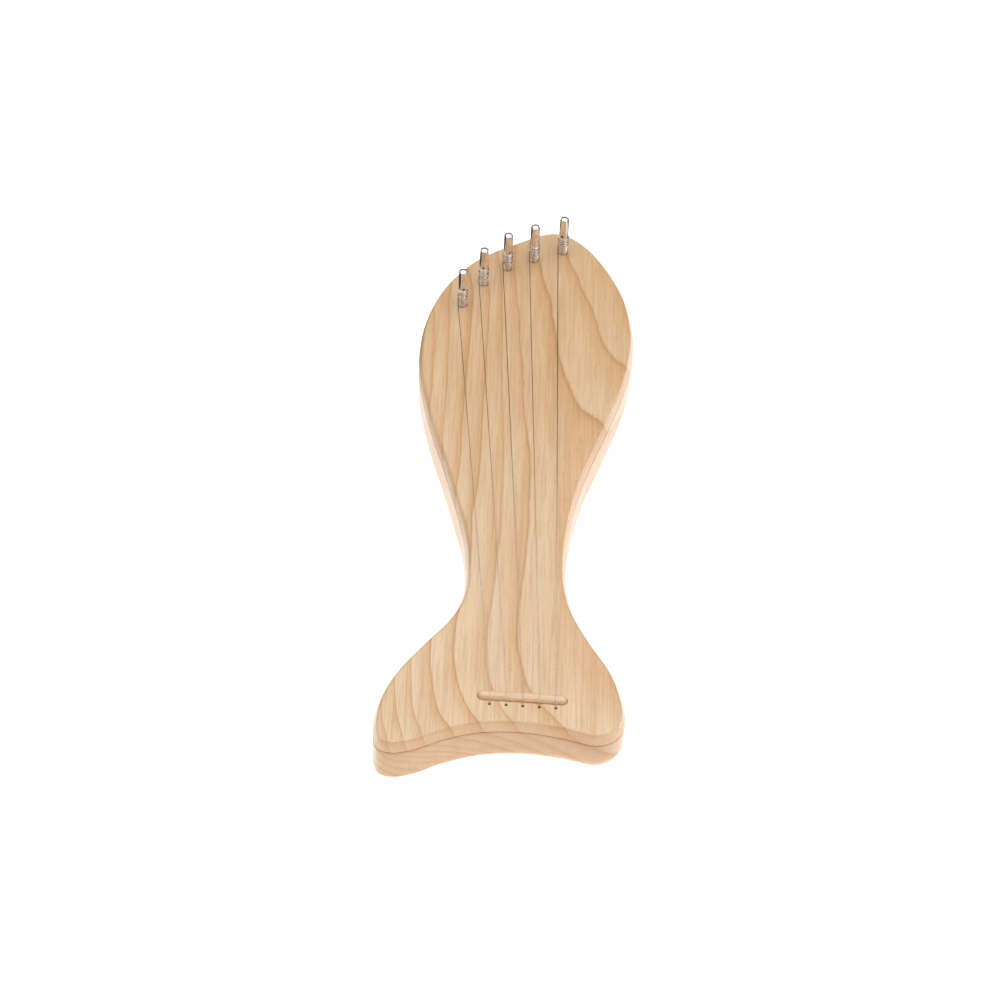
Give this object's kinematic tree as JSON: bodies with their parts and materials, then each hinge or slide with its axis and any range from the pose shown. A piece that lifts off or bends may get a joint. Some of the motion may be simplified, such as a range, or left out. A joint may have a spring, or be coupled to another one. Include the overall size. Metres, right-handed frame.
{
  "type": "small hand harp",
  "caption": "Small fish-tailed children's lyre: flat wooden body with a hollow back, steel strings over a rod bridge, square-headed tuning pins that turn.",
  "frame": {"origin": "middle of the body's footprint, on the flat back that it lies on", "axes": "+Y along the strings toward the pins, +Z out of the front face, +X to the right when the head is up"},
  "size_m": [0.1252, 0.383, 0.05],
  "materials": {
    "ash": "satin oiled",
    "bridge_wood": "satin oiled",
    "nickel": "nickel plated, polished",
    "string_steel": "drawn wire",
    "brass": "turned"
  },
  "bodies": {
    "harp": {"body": "ash", "bridge": "bridge_wood", "string_1": "string_steel", "string_2": "string_steel", "string_3": "string_steel", "string_4": "string_steel", "string_5": "string_steel", "ball_end_1": "brass", "ball_end_2": "brass", "ball_end_3": "brass", "ball_end_4": "brass", "ball_end_5": "brass"},
    "pin_1": {"tuning_pin_1": "nickel", "string_winding_1": "string_steel"},
    "pin_2": {"tuning_pin_2": "nickel", "string_winding_2": "string_steel"},
    "pin_3": {"tuning_pin_3": "nickel", "string_winding_3": "string_steel"},
    "pin_4": {"tuning_pin_4": "nickel", "string_winding_4": "string_steel"},
    "pin_5": {"tuning_pin_5": "nickel", "string_winding_5": "string_steel"}
  },
  "joints": [
    {"name": "tune_1", "type": "hinge", "parent": "harp", "child": "pin_1", "pos_m": [-0.0316, 0.1255, 0.025], "axis": [0, 0, -1], "range_deg": [-1500, 60]},
    {"name": "tune_2", "type": "hinge", "parent": "harp", "child": "pin_2", "pos_m": [-0.0208, 0.1441, 0.025], "axis": [0, 0, -1], "range_deg": [-1500, 60]},
    {"name": "tune_3", "type": "hinge", "parent": "harp", "child": "pin_3", "pos_m": [-0.0079, 0.1576, 0.025], "axis": [0, 0, -1], "range_deg": [-1500, 60]},
    {"name": "tune_4", "type": "hinge", "parent": "harp", "child": "pin_4", "pos_m": [0.0067, 0.1657, 0.025], "axis": [0, 0, -1], "range_deg": [-1500, 60]},
    {"name": "tune_5", "type": "hinge", "parent": "harp", "child": "pin_5", "pos_m": [0.0226, 0.1735, 0.025], "axis": [0, 0, -1], "range_deg": [-1500, 60]}
  ]
}
